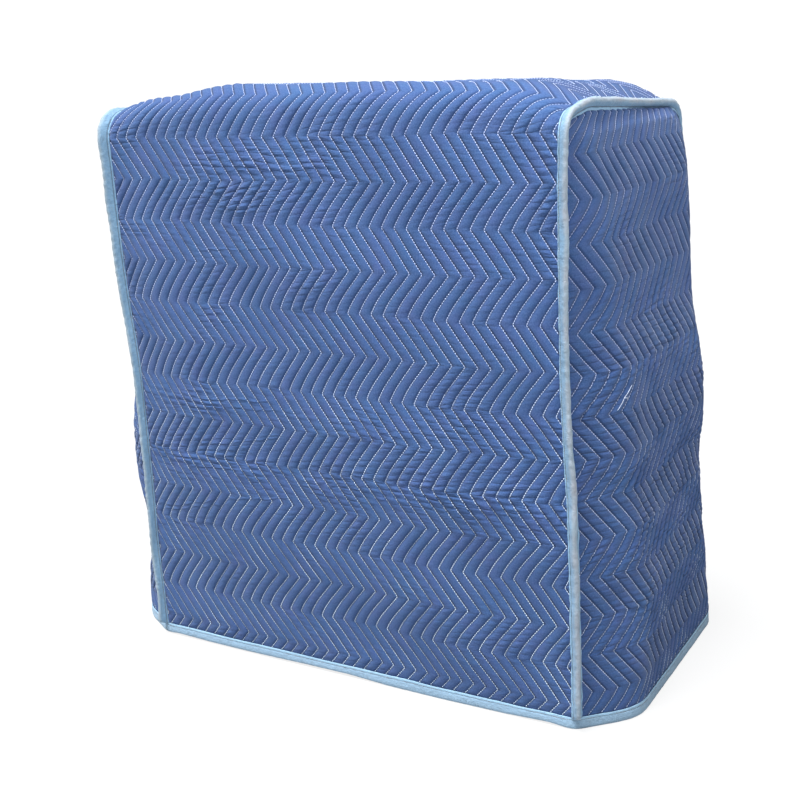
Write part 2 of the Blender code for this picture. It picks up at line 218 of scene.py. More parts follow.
# ---- the panels' mean outer faces, from places on the flat cloth

topLumps = {
    # across, and how much the top stands above its even crown there, in millimetres
    "x": [-0.487, -0.445, -0.40, -0.36, -0.32, -0.29, -0.25, -0.20, -0.10, 0.0, 0.12, 0.26,
          0.33, 0.38, 0.43, 0.487],
    "lift": [0, -5, -9, -14, -15, -10, -3, 3, 0, -3.5, -5, -4, -3, 3, 4, 0],
}


def lumpyTop(x, row):
    # the folded cloth over the top edges rises and sinks
    lift = np.interp(x, topLumps["x"], topLumps["lift"]) / 1000
    return lift * clamp((row + 7.5) / 2) * clamp((0.6 - row) / 1.2)


def mainCloth(x, row):
    s = np.clip(x / (quilt["width"] / 2), -1, 1)
    depth, height, outY, outZ = girthPoint(s, girthLength(s, row))
    swell = np.where(outY > 0, cover["backBulge"], cover["frontBulge"]) * (1 - s ** 6)
    swell = swell * np.sin(pi * clamp(height / cover["frontHeight"])) ** 0.8 * np.abs(outY)
    edgeLength = girthLength(np.ones_like(s), row)
    left, _, leftAcross = seamFrame(-1, edgeLength)
    right, _, rightAcross = seamFrame(1, edgeLength)
    spots = np.stack([mix(left[:, 0], right[:, 0], (s + 1) / 2),
                      depth + setBack(s, height, outY) - cover["middleDepth"] + outY * swell,
                      height - cover["topUnderside"] + outZ * swell], -1)
    spots[:, 2] += lumpyTop(x, row) - clamp(s) ** 6 * slouchAt(depth, outZ)
    return spots + np.where(s[:, None] > 0, rightAcross, leftAcross) * cover["lip"] * (np.abs(s) ** 10)[:, None]


def sideSpot(side, v, length):
    total = sum(girthParts(1.0)[4])
    front, _, frontAcross = seamFrame(side, length, 0.0)
    back, _, backAcross = seamFrame(side, total - length, 0.0)
    front, back = front - frontAcross * cover["lip"], back - backAcross * cover["lip"]
    spots = mix(front, back, v[:, None])
    height = spots[:, 2] + cover["topUnderside"]
    depth = back[:, 1] - front[:, 1]
    backRun = mix(cover["backRunHem"], cover["backRun"], clamp(height / 0.25))
    backRun = mix(backRun, cover["backRunTop"], clamp((height - 0.70) / 0.25))
    rise = np.sin(pi / 2 * clamp(v * depth / fromTable(hand(side) + "Run", height))) ** 1.2
    turn = np.sin(pi / 2 * clamp((1 - v) * depth / backRun))
    turn = turn * (1 + cover["backGrowth"] * v * clamp((height - 0.25) / 0.25))
    belowTop = clamp((cover["frontHeight"] - height) / 0.05)
    spots[:, 0] += side * fromTable(hand(side) + "Bulge", height) * rise * turn * belowTop
    if side > 0:
        outZ = girthPoint(np.ones_like(length), length)[3]
        spots[:, 2] -= slouchAt(spots[:, 1] + cover["middleDepth"], outZ)
    return spots


class SideCloth:
    # measures a side panel, so that its flat cloth lies on the swelled face without stretching

    def __init__(self, side):
        self.side = side
        self.top = float(girthLength(np.ones(1), np.array([quilt["sideTopRow"]]))[0])
        self.levels = np.linspace(cover["foot"], self.top, 48)
        share = np.linspace(0, 1, 241)
        self.share = np.zeros((48, 201))
        widths = []
        for k, level in enumerate(self.levels):
            run = sideSpot(side, share, np.full(241, level))
            gone = np.concatenate([[0], np.cumsum(np.linalg.norm(np.diff(run, axis=0), axis=1))])
            widths.append(gone[-1])
            self.share[k] = np.interp(np.linspace(0, 1, 201) * gone[-1], gone, share)
        self.hemWidth, self.topWidth = widths[0], widths[-1]
        self.widest, self.meanWidth = float(max(widths)), float(np.mean(widths))

    def width(self, length):
        return mix(self.hemWidth, self.topWidth, (length - cover["foot"]) / (self.top - cover["foot"]))

    def __call__(self, x, length):
        u = clamp(x / self.width(length)) * 200
        k = np.clip((length - self.levels[0]) / (self.levels[1] - self.levels[0]), 0, 46.999)
        a, b = k.astype(int), np.clip(u.astype(int), 0, 199)
        fa, fb = k - a, u - b
        low = mix(self.share[a, b], self.share[a, b + 1], fb)
        high = mix(self.share[a + 1, b], self.share[a + 1, b + 1], fb)
        return sideSpot(self.side, mix(low, high, fa), length)


def faceOut(place, x, y, stepX, stepY):
    # place(x, y) and the unit way out of the cover there
    across = place(x + stepX, y) - place(x - stepX, y)
    up = place(x, y + stepY) - place(x, y - stepY)
    out = unit(np.cross(across, up))
    spots = place(x, y)
    fromMiddle = spots - np.array([0, 0, -0.3])
    return spots, out * np.where((out * fromMiddle).sum(-1, keepdims=True) < 0, -1, 1)


# ---- sewing the panels

puffing = {
    "loft": 0.0035, "wrinkle": 0.0020, "foldPitch": 0.0128, "sunk": 0.72, "pressed": 0.0012,
    "thickness": 0.005, "hold": 0.014, "wave": 0.0022, "drift": 0.0011,
    # where the points of a channel lie across it, and how many rows of them each half zigzag has
    "across": [0, 0.075, 0.21, 0.40, 0.60, 0.79, 0.925],
    "frontRows": 9, "backRows": 4, "rightRows": 20, "leftRows": 8,
    # rows from and to, and how many in each half zigzag where the cloth puckers or shows close up
    "bands": [(-5, -1, 7), (1, 3, 20), (7, 8, 14), (8, 10, 20)],
    # lengths along the cloth between which the top lies, and where the small folds end
    "top": (1.15, 1.70), "foldsEnd": 1.24,
}


def deselectAll():
    if bpy.context.object and bpy.context.object.mode != "OBJECT":
        bpy.ops.object.mode_set(mode="OBJECT")
    bpy.ops.object.select_all(action="DESELECT")


def added(name, add, **settings):
    # what one of the add operators makes
    deselectAll()
    add(**settings)
    piece = bpy.context.object
    piece.name = piece.data.name = name
    return piece


def activate(piece):
    deselectAll()
    piece.select_set(True)
    bpy.context.view_layer.objects.active = piece


def gridCloth(name, columns, rows):
    # a flat grid primitive, and the column and row of each of its points
    piece = added(name, bpy.ops.mesh.primitive_grid_add, x_subdivisions=columns, y_subdivisions=rows, size=1)
    spots = readSpots(piece)
    column, level = ((spots[:, k] + 0.5) * count for k, count in ((0, columns), (1, rows)))
    return piece, np.rint(column).astype(int), np.rint(level).astype(int)


def readSpots(piece):
    spots = np.zeros(len(piece.data.vertices) * 3)
    piece.data.vertices.foreach_get("co", spots)
    return spots.reshape(-1, 3)


def writeSpots(piece, spots):
    piece.data.vertices.foreach_set("co", np.ascontiguousarray(spots, dtype=np.float32).ravel())
    piece.data.update()


def trim(piece, spot, way):
    # cuts off what lies past a line on the flat cloth
    activate(piece)
    bpy.ops.object.mode_set(mode="EDIT")
    bpy.ops.mesh.select_all(action="SELECT")
    bpy.ops.mesh.bisect(plane_co=spot, plane_no=way, clear_outer=True, threshold=1e-6)
    bpy.ops.object.mode_set(mode="OBJECT")


def join(pieces):
    deselectAll()
    for piece in pieces:
        piece.select_set(True)
    bpy.context.view_layer.objects.active = pieces[0]
    bpy.ops.object.join()
    return pieces[0]


def zipUp(mesh, first, second):
    # a strip of faces between two edges of the cloth whose points differ in number
    def at(chain, k):
        start, end = chain[0].co, chain[-1].co
        return (chain[k].co.xy - start.xy).length / (end.xy - start.xy).length
    one = two = 0
    while one < len(first) - 1 or two < len(second) - 1:
        onward = at(first, one + 1) if one < len(first) - 1 else 9
        other = at(second, two + 1) if two < len(second) - 1 else 9
        if onward <= other:
            mesh.faces.new((first[one], first[one + 1], second[two]))
            one += 1
        else:
            mesh.faces.new((first[one], second[two + 1], second[two]))
            two += 1


def reshape(piece, change):
    mesh = bmesh.new()
    mesh.from_mesh(piece.data)
    change(mesh)
    mesh.to_mesh(piece.data)
    mesh.free()


def closeBorders(piece, edges):
    # joins the outer face, at z 0, to the lining face below it; edges tests a point for each border
    def close(mesh):
        for isOn, order in edges:
            border = sorted((v for v in mesh.verts if isOn(v.co)), key=lambda v: v.co[order])
            zipUp(mesh, [v for v in border if v.co.z > -0.5], [v for v in border if v.co.z < -0.5])

    reshape(piece, close)


def recalculate(piece):
    reshape(piece, lambda mesh: bmesh.ops.recalc_face_normals(mesh, faces=mesh.faces))


def addMap(piece, name, u, v):
    # a UV map from one value pair for each point
    corners = np.zeros(len(piece.data.loops), int)
    piece.data.loops.foreach_get("vertex_index", corners)
    layer = piece.data.uv_layers.get(name) or piece.data.uv_layers.new(name=name)
    layer.data.foreach_set("uv", np.stack([u[corners], v[corners]], -1).astype(np.float32).ravel())


def addValue(piece, name, values):
    layer = piece.data.attributes.new(name, "FLOAT", "POINT")
    layer.data.foreach_set("value", values.astype(np.float32))


def wrinkles(x, y, seed):
    # uneven folds that run nearly level, 0 in their sharp valleys and about 1 on their backs
    wander = 0.35 * ripple(x * 0.4, y * 0.6, 0.045, seed + 20) + 0.2 * ripple(x * 0.3, y * 0.6, 0.025, seed + 21)
    fold = np.abs(np.sin(pi * (y / puffing["foldPitch"] + wander))) ** 0.75
    return fold * np.clip(0.75 + 0.7 * ripple(x * 0.6, y, 0.035, seed + 22), 0.1, 1.4)


def relief(line, edge, x, y, pucker, seed):
    # puffed channels between stitch lines, held down along the panel's edges
    hump = np.abs(np.sin(pi * line)) ** 0.62 - puffing["sunk"]
    loft = puffing["loft"] * (1 + 0.28 * ripple(x, y, 0.05, seed))
    topStart, topEnd = puffing["top"]
    loft = loft * (1 - 0.6 * clamp((y - topStart) / 0.05) * clamp((topEnd - y) / 0.05))
    held = clamp(edge / puffing["hold"])
    folds = puffing["wrinkle"] * wrinkles(x, y, seed) * clamp(pucker - 0.35) * held
    folds = folds * clamp((puffing["foldsEnd"] - y) / 0.03)
    return loft * hump * (0.25 + 0.75 * held) - puffing["pressed"] * (1 - held) + folds


# pucker groups seen on the cloth: place across, row, how wide, how many rows, strength
frontPuckers = [
    (-0.10, 1.55, 0.15, 0.42, 1.0), (-0.15, 2.42, 0.12, 0.38, 1.3), (0.03, 1.0, 0.10, 0.35, 0.5),
    (-0.44, 3.3, 0.06, 0.40, 0.55), (0.0, 4.4, 0.05, 0.40, 0.45), (-0.25, 5.2, 0.05, 0.35, 0.40),
    (-0.33, 7.5, 0.15, 0.45, 0.85), (-0.32, 9.05, 0.20, 0.55, 0.95), (0.0, 9.2, 0.10, 0.50, 0.7),
    (0.27, 7.1, 0.09, 0.50, 0.65), (0.14, 7.75, 0.10, 0.40, 0.8), (0.28, 9.15, 0.22, 0.60, 1.2),
    (0.40, 7.9, 0.09, 0.60, 0.60), (0.475, 2.6, 0.03, 1.0, 0.80), (0.42, 1.0, 0.06, 0.50, 0.50),
    (-0.44, 0.7, 0.05, 0.50, 0.60), (0.05, 10.5, 0.06, 0.40, 0.35), (-0.38, 11.0, 0.10, 0.40, 0.35),
    (0.35, 12.5, 0.12, 0.60, 0.35), (0.15, -3.0, 0.16, 0.8, 0.5), (0.0, -8.3, 0.15, 0.8, 0.7),
    (-0.3, -13.0, 0.14, 0.9, 0.7), (0.25, -15.6, 0.16, 0.8, 0.6), (0.30, -10.4, 0.10, 0.6, 0.5),
]
sidePuckers = [
    (0.05, 6.8, 0.07, 2.2, 0.9), (0.20, 9.2, 0.18, 1.8, 0.9), (0.18, 12.0, 0.24, 2.0, 1.0),
    (0.14, 3.2, 0.08, 1.2, 0.6), (0.40, 8.0, 0.16, 3.2, 0.8), (0.42, 12.0, 0.18, 2.0, 0.7),
    (0.22, 5.6, 0.12, 1.2, 0.8), (0.34, 2.2, 0.10, 1.4, 0.35),
]


def puckering(x, row, edge, groups, seed):
    total = 0.20 + 0.14 * ripple(x, row * 0.08, 0.09, seed)
    total = total + np.exp(-(edge / 0.022) ** 2) * (0.35 + 0.30 * ripple(x, row * 0.08, 0.05, seed + 9))
    for middle, at, wide, tall, strength in groups:
        total = total + strength * np.exp(-((x - middle) / wide) ** 2 - ((row - at) / tall) ** 2)
    return np.clip(total, 0, 1.2)


def clothPlan(place, edges, firstRow, lastRow, pitch, **rest):
    # what a panel and its stitches are sewn by; edges gives where the cloth starts and ends in a row
    def edgeOf(x, row):
        left, right = edges(row)
        ends = np.minimum(firstRow - row, row - lastRow) * pitch
        return np.minimum(np.minimum(x - left, right - x), ends)

    def alongOf(row):
        return (firstRow - row) * pitch

    return {"place": place, "edgeOf": edgeOf, "alongOf": alongOf, **rest}


def sewPanel(name, rows, lining, edges, place, turned, firstLine, edgeOf, alongOf, puckers, seed):
    # the outer face follows the zigzag, so that every stitch line is a line of points
    lines = np.array([k + part for k in range(-3, 41) for part in puffing["across"]] + [41.0])
    face, column, level = gridCloth(name, len(lines) - 1, len(rows) - 1)
    spots = np.zeros((len(column), 3))
    spots[:, 0] = firstLine + zigzag(rows[level], turned) + quilt["pitch"] * lines[column]
    spots[:, 1] = rows[level]
    writeSpots(face, spots)
    low, high = rows[0], rows[-1]
    for side, (atLow, atHigh) in zip((-1, 1), edges(np.array([low, high]))):
        way = Vector((side, -side * (atHigh - atLow) / (high - low), 0)).normalized()
        trim(face, (atLow, low, 0), way)
    columns, levels = lining
    back, column, level = gridCloth(name + "Lining", columns, levels)
    share = column / columns
    spots = np.zeros((len(column), 3))
    spots[:, 1] = mix(low, high, level / levels)
    left, right = edges(spots[:, 1])
    spots[:, 0] = mix(left, right, share)
    spots[:, 2] = -1
    writeSpots(back, spots)
    panel = join([face, back])
    closeBorders(panel, [
        (lambda co: abs(co.x - float(edges(np.array([co.y]))[0][0])) < 2e-5, 1),
        (lambda co: abs(co.x - float(edges(np.array([co.y]))[1][0])) < 2e-5, 1),
        (lambda co: abs(co.y - low) < 1e-5, 0), (lambda co: abs(co.y - high) < 1e-5, 0)])
    flat = readSpots(panel)
    x, row, outer = flat[:, 0], flat[:, 1], flat[:, 2] > -0.5
    line = (x - firstLine - zigzag(row, turned)) / quilt["pitch"]
    along = alongOf(row)
    edge = edgeOf(x, row)
    spots, out = clothFace(place, x, row, edge, seed)
    pucker = puckering(x, row, edge, puckers, seed)
    depth = np.where(outer, relief(line, edge, x, along, pucker, seed), -puffing["thickness"])
    writeSpots(panel, spots + out * depth[:, None])
    recalculate(panel)
    for layer in list(panel.data.uv_layers):
        panel.data.uv_layers.remove(layer)
    addMap(panel, "cloth", x, along)
    addMap(panel, "quilt", line, row)
    addValue(panel, "pucker", pucker)
    panel.data.shade_smooth()
    print("sewn:", name, len(panel.data.polygons), "faces")
    return panel


def clothFace(place, x, row, edge, seed):
    # the cloth's place in space, with the small drift and waves of cloth that was sewn by hand
    free = clamp(edge / 0.06)
    drift = puffing["drift"] * free
    moved = x + drift * ripple(x, row * 0.08, 0.10, seed + 1)
    turned = row + drift / 0.08 * 1.2 * ripple(x, row * 0.08, 0.13, seed + 2)
    spots, out = faceOut(place, moved, turned, 0.002, 0.02)
    wave = puffing["wave"] * free * ripple(x, row * 0.08, 0.17, seed + 3)
    return spots + out * wave[:, None], out


# the main panel: front, top and back in one length
halfWidth = quilt["width"] / 2
footRow = quilt["lastRow"] + (quilt["lastRowHeight"] - cover["foot"]) / quilt["rowPitch"]
backFootRow = -quilt["topRows"] - footRow


def rowList(first, last, perTurn):
    # evenly within each half zigzag, and always one at its points
    low, high = min(first, last), max(first, last)
    whole = np.arange(np.ceil(low), np.floor(high) + 1)
    inner = np.concatenate([whole[:-1] + k / perTurn for k in range(perTurn)] + [whole[-1:]])
    ends = np.concatenate([np.linspace(low, whole[0], int((whole[0] - low) * perTurn) + 2)[:-1],
                           np.linspace(whole[-1], high, int((high - whole[-1]) * perTurn) + 2)[1:]])
    return np.unique(np.concatenate([inner, ends[(ends >= low) & (ends <= high)]]).round(9))


def mainEdges(row):
    return np.full_like(row, -halfWidth), np.full_like(row, halfWidth)


mainSewing = clothPlan(mainCloth, mainEdges, footRow, backFootRow, quilt["rowPitch"], turned=False,
                       firstLine=quilt["firstLine"], puckers=frontPuckers, seed=11)
mainRows = [rowList(*band) for band in [(footRow, -1, puffing["frontRows"]), (-1, backFootRow, puffing["backRows"])]
            + puffing["bands"]]
mainPanel = sewPanel("mainPanel", np.unique(np.concatenate(mainRows)), (30, 150), mainEdges, **mainSewing)


# the side panels
def sideRow(length):
    return quilt["lastRow"] - (length - quilt["sideLastRowHeight"]) / quilt["sideRowPitch"]


def sideLength(row):
    return quilt["sideLastRowHeight"] + (quilt["lastRow"] - row) * quilt["sideRowPitch"]


def sewSide(side, name, perTurn, seed):
    cloth = SideCloth(side)
    firstRow, lastRow = sideRow(cover["foot"]), sideRow(cloth.top)

    def edges(row):
        return np.zeros_like(row), cloth.width(sideLength(row))

    def place(x, row):
        return cloth(x, sideLength(row))

    sewing = clothPlan(place, edges, firstRow, lastRow, quilt["sideRowPitch"], turned=True,
                       firstLine=quilt["sideFirstLine"], puckers=sidePuckers, seed=seed)
    panel = sewPanel(name, rowList(firstRow, lastRow, perTurn), (20, 50), edges, **sewing)
    return panel, cloth, (firstRow, lastRow), sewing


sidePanelRight, rightCloth, rightRows, rightSewing = sewSide(1, "sidePanelRight", puffing["rightRows"], 23)
sidePanelLeft, leftCloth, leftRows, leftSewing = sewSide(-1, "sidePanelLeft", puffing["leftRows"], 37)


# ---- quilting stitches: one small thread shape, laid along every line

threads = {"length": 0.0060, "width": 0.0020, "height": 0.0013, "perTurn": 19, "proud": 0.0008, "onTape": 0.0046}


def laySpots(name, middles, along, out):
    # a slim bead at each middle, joined into one mesh
    across = unit(np.cross(along, out))
    half = [along * threads["length"] / 2, across * threads["width"] / 2, out * threads["height"] / 2]
    corners = np.stack([middles + half[0], middles + half[1], middles - half[0], middles - half[1],
                        middles + half[2], middles - half[2]], 1).reshape(-1, 3)
    faces = np.array([(0, 1, 4), (1, 2, 4), (2, 3, 4), (3, 0, 4), (1, 0, 5), (2, 1, 5), (3, 2, 5), (0, 3, 5)])
    count = len(middles)
    faces = (faces[None] + 6 * np.arange(count)[:, None, None]).reshape(-1, 3)
    mesh = bpy.data.meshes.new(name)
    mesh.from_pydata(corners.tolist(), [], faces.tolist())
    mesh.validate()
    piece = bpy.data.objects.new(name, mesh)
    bpy.context.scene.collection.objects.link(piece)
    recalculate(piece)
    piece.data.shade_smooth()
    print("stitched:", name, count, "stitches")
    return piece


def quiltStitches(name, rows, lineCount, place, turned, firstLine, edgeOf, alongOf, puckers, seed):
    step = 1 / threads["perTurn"]
    low, high = min(rows), max(rows)
    row = np.arange(np.ceil(low / step), np.floor(high / step)) * step + step / 2
    row, line = (grid.ravel() for grid in np.meshgrid(row, np.arange(-3, lineCount)))
    rng = np.random.default_rng(seed)
    row = row + rng.uniform(-0.05, 0.05, len(row)) * step

    def at(row):
        return firstLine + zigzag(row, turned) + quilt["pitch"] * line

    keep = edgeOf(at(row), row) > 0.002
    row, line = row[keep], line[keep]
    x = at(row)
    edge = edgeOf(x, row)

    def threadAt(row):
        x = at(row)
        spots, out = clothFace(place, x, row, edge, seed)
        pucker = puckering(x, row, edge, puckers, seed)
        sunk = relief(line.astype(float), edge, x, alongOf(row), pucker, seed)
        return spots + out * (sunk + threads["proud"])[:, None], out

    spots, out = threadAt(row)
    return laySpots(name, spots, unit(threadAt(row + 0.2 * step)[0] - threadAt(row - 0.2 * step)[0]), out)


frontStitches = quiltStitches("frontStitches", (footRow, -1.0), 42, **mainSewing)
backStitches = quiltStitches("backStitches", (-1.0, backFootRow), 42, **mainSewing)
rightStitches = quiltStitches("rightStitches", rightRows, 26, **rightSewing)
leftStitches = quiltStitches("leftStitches", leftRows, 26, **leftSewing)


looseEnd = {
    # across, row and height over the cloth, of a thread end that has come out of the right panel's quilting
    "tail": [(0.0842, 6.940, 0.002), (0.0865, 6.893, 0.003), (0.0905, 6.815, 0.004), (0.0950, 6.735, 0.004),
             (0.0985, 6.665, 0.003), (0.1035, 6.615, 0.004), (0.1062, 6.545, 0.005), (0.1105, 6.490, 0.005),
             (0.1155, 6.440, 0.004)],
    "strand": [(0.0975, 6.680, 0.003), (0.1005, 6.690, 0.005), (0.1040, 6.705, 0.005)],
    "radius": 0.0005,
}


def layLooseEnd():
    curve = bpy.data.curves.new("looseEnd", "CURVE")
    curve.dimensions, curve.bevel_depth, curve.use_fill_caps = "3D", looseEnd["radius"], True
    curve.bevel_resolution, curve.resolution_u = 1, 4
    for route in (looseEnd["tail"], looseEnd["strand"]):
        x, row, lift = np.array(route).T
        spots, out = clothFace(rightSewing["place"], x, row, rightSewing["edgeOf"](x, row), rightSewing["seed"])
        spline = curve.splines.new("NURBS")
        spline.points.add(len(route) - 1)
        for point, spot in zip(spline.points, spots + out * lift[:, None]):
            point.co = (*spot, 1)
        spline.order_u, spline.use_endpoint_u = 3, True
    piece = bpy.data.objects.new("looseEnd", curve)
    bpy.context.scene.collection.objects.link(piece)
    activate(piece)
    bpy.ops.object.convert(target="MESH")
    tail = bpy.context.object
    tail.data.name = "looseEnd"
    tail.data.shade_smooth()
    return tail


looseThread = layLooseEnd()


# ---- folded bindings along the side seams

binding = {
    # out of the seam and across it, millimetres, from the root inside round one lip to the crest
    "fold": [(-3.2, 0.0), (-2.0, 5.0), (-0.3, 7.6), (-1.7, 9.6), (-1.3, 10.8), (0.0, 10.6), (1.2, 9.5), (2.2, 8.3),
             (3.6, 7.5), (6.0, 7.6), (9.0, 8.1), (12.2, 8.2), (15.3, 7.5), (18.1, 5.9), (20.2, 3.4), (21.2, 0.0)],
    "reach": 10.8, "lipStart": 0.0078, "station": 0.0036, "taper": 0.016, "overTop": 0.84, "foldedBack": 0.011,
    # lengths along the seam between which it runs over the top, and between which it is folded back
    "topRun": (1.12, 1.68), "backRun": (1.70, 2.12),
    # at lengths along the seam: how far the lips reach past it on the main and on the side panel, millimetres,
    # and how slim and how tall the fold is against its full shape
    "at": [0, 0.45, 0.62, 1.10, 1.22, 1.60, 1.74, 2.80],
    "right": ([9.9, 9.4, 8.4, 8.4, 9.6, 10.2, 10.2, 10.2], [10.8, 10.4, 8.4, 8.4, 12.6, 12.8, 10.4, 10.2],
              [0.80, 0.80, 0.70, 0.70, 0.78, 0.84, 0.84, 0.82], [0.82, 0.82, 0.74, 0.76, 0.82, 0.84, 0.84, 0.82]),
    "left": ([7.8, 7.8, 7.8, 8.2, 9.4, 10.2, 10.2, 10.2], [8.8, 8.8, 8.8, 9.0, 9.4, 10.2, 10.2, 10.2],
             [0.68, 0.68, 0.66, 0.70, 0.78, 0.80, 0.82, 0.82], [0.72, 0.72, 0.68, 0.95, 1.00, 0.90, 0.82, 0.82]),
}


def sewTube(piece, closed):
    # joins the last column to the first, and closes the ends or joins them too
    activate(piece)
    bpy.ops.object.mode_set(mode="EDIT")
    bpy.ops.mesh.select_all(action="SELECT")
    bpy.ops.mesh.remove_doubles(threshold=1e-6)
    if not closed:
        bpy.ops.mesh.select_all(action="SELECT")
        bpy.ops.mesh.fill_holes(sides=0)
    bpy.ops.object.mode_set(mode="OBJECT")
    recalculate(piece)
    piece.data.shade_smooth()


def sewBinding(side, name, seed):
    half = np.array(binding["fold"]) / 1000
    section = np.concatenate([half, half[-2:0:-1] * [1, -1], half[:1]])
    total = float(sum(girthParts(1.0)[4]))
    start = cover["foot"] + 0.0012
    count = int((total - 2 * start) / binding["station"])
    piece, column, level = gridCloth(name, len(section) - 1, count)
    length = mix(start, total - start, level / count)
    spots, out, across = seamFrame(side, length)
    tall, off = section[column].T
    way = np.sign(off)
    zero = np.zeros_like(length)
    ends = np.minimum(length, total - length) - start
    round_ = np.sqrt(clamp(1 - (1 - clamp(ends / binding["taper"])) ** 2))
    pastLip = np.abs(off) - binding["lipStart"]
    lip = clamp(pastLip / 0.0025) * clamp(1 - tall / 0.003)
    crest = clamp((tall - 0.002) / 0.010)
    onMain, onSide, slim, waist = (np.interp(length, binding["at"], size)
                                   for size in binding[hand(side)])
    waist = mix(waist, 1.0, clamp(1 - ends / 0.05) * 0.5)
    topStart, topEnd = binding["topRun"]
    overTop = clamp(np.minimum(length - topStart, topEnd - length) / 0.05)
    body = tall * (1 + 0.06 * ripple(length, zero, 0.05, seed + 2)) * waist
    body = body * mix(1.0, binding["overTop"], overTop)
    body = np.where(body > 0, body * mix(0.42, 1.0, round_), body)
    wide = off * (1 + crest * 0.08 * ripple(length, zero, 0.028, seed)) * mix(1.0, slim, crest)
    backStart, backEnd = binding["backRun"]
    folded = clamp((length - backStart) / 0.08) * clamp((backEnd - length) / 0.16)
    wide = wide + binding["foldedBack"] * crest * folded
    wide = wide * mix(0.72, 1.0, clamp(round_ + lip))
    reach = np.where(off > 0, onMain, onSide) / binding["reach"]
    wide = wide * mix(1.0, reach, clamp(pastLip / 0.0018))
    wide = wide + way * lip * 0.0005 * ripple(length, way, 0.03, seed + 1)
    wide = wide + crest ** 1.5 * 0.0014 * ripple(length, zero, 0.07, seed + 3)
    crinkle = ripple(length, off * 2.5 + tall, 0.0085, seed + 4, 9)
    body = body + crest * 0.00055 * crinkle
    wide = wide + way * 0.00045 * ripple(length, tall * 2, 0.0075, seed + 5, 9)
    writeSpots(piece, spots + out * body[:, None] + across * wide[:, None])
    sewTube(piece, False)
    print("bound:", name)
    return piece


seamBindingRight = sewBinding(1, "seamBindingRight", 51)
seamBindingLeft = sewBinding(-1, "seamBindingLeft", 61)


# ---- the hem's tape, folded under the lower edge all round

hem = {
    # out of the cloth's face and height, millimetres, from the outer lip round under the edge
    "fold": [(0.2, 28.7), (1.0, 28.5), (1.6, 27.4), (1.9, 25.8), (1.9, 24.4), (1.5, 23.6), (1.9, 22.8), (2.3, 19.0),
             (2.6, 14.6), (2.7, 10.0), (2.2, 6.4), (0.6, 4.3), (-2.5, 3.9), (-5.6, 4.3), (-7.4, 5.8), (-8.0, 9.0),
             (-8.1, 13.0), (-7.6, 17.5), (-6.9, 19.9), (-7.3, 22.0), (-7.0, 26.0), (-6.2, 27.3), (-5.4, 27.0),
             (-3.0, 26.7), (-0.6, 26.8)],
    "station": 0.006,
    # the front edge hangs unevenly: across, and millimetres it is drawn up
    "drawn": ([-0.49, -0.45, -0.36, -0.25, -0.10, 0.0, 0.09, 0.20, 0.35, 0.44, 0.49],
              [0, 4.5, 2.5, 2.5, 5.0, 5.5, 1.0, 0, 1.0, 4.5, 0]),
}


def hemLine():
    # the lower edge's plan, front, right, back and left, evenly spaced and eased at its corners
    x = np.linspace(-halfWidth, halfWidth, 240)
    right = np.linspace(0, rightCloth.hemWidth, 160)
    left = np.linspace(0, leftCloth.hemWidth, 160)
    foot = np.full(160, cover["foot"])
    plan = np.concatenate([mainCloth(x, np.full(240, footRow)), rightCloth(right, foot),
                           mainCloth(-x, np.full(240, backFootRow)), leftCloth(left[::-1], foot)])[:, :2]
    ring = np.concatenate([plan, plan[:1]])
    gone = np.concatenate([[0], np.cumsum(np.linalg.norm(np.diff(ring, axis=0), axis=1))])
    count = int(gone[-1] / hem["station"])
    even = np.arange(count) * gone[-1] / count
    line = np.stack([np.interp(even, gone, ring[:, k]) for k in (0, 1)], -1)
    for _ in range(9):
        line = (np.roll(line, 1, 0) + 2 * line + np.roll(line, -1, 0)) / 4
    way = unit(np.roll(line, -1, 0) - np.roll(line, 1, 0))
    return line, np.stack([way[:, 1], -way[:, 0]], -1), gone[-1]


hemPlan, hemOut, hemRound = hemLine()


def sewHem():
    section = np.array(hem["fold"] + hem["fold"][:1]) / 1000
    count = len(hemPlan)
    piece, column, level = gridCloth("hemBinding", len(section) - 1, count)
    level = level % count
    deep, tall = section[column].T
    angle = 2 * pi * level / count
    ringX, ringY = np.cos(angle) * 0.55, np.sin(angle) * 0.55
    lift = 0.0009 * ripple(ringX, ringY, 0.06, 71) * clamp((tall - 0.018) / 0.008)
    drawn = np.interp(hemPlan[level][:, 0], *hem["drawn"]) / 1000 * (hemPlan[level][:, 1] < -0.2)
    lift = lift + drawn * clamp((0.020 - tall) / 0.014)
    swell = 1 + 0.12 * ripple(ringX, ringY, 0.035, 72) * clamp(deep / 0.002)
    crinkle = 0.00025 * ripple(ringX * 3, ringY * 3 + tall * 30, 0.02, 73)
    out = hemOut[level] * (deep * swell + crinkle)[:, None]
    spots = np.zeros((len(level), 3))
    spots[:, :2] = hemPlan[level] + out
    spots[:, 2] = tall + lift - cover["topUnderside"]
    writeSpots(piece, spots)
    sewTube(piece, True)
    print("bound: hemBinding")
    return piece


hemBinding = sewHem()


# ---- stitch lines on the tapes

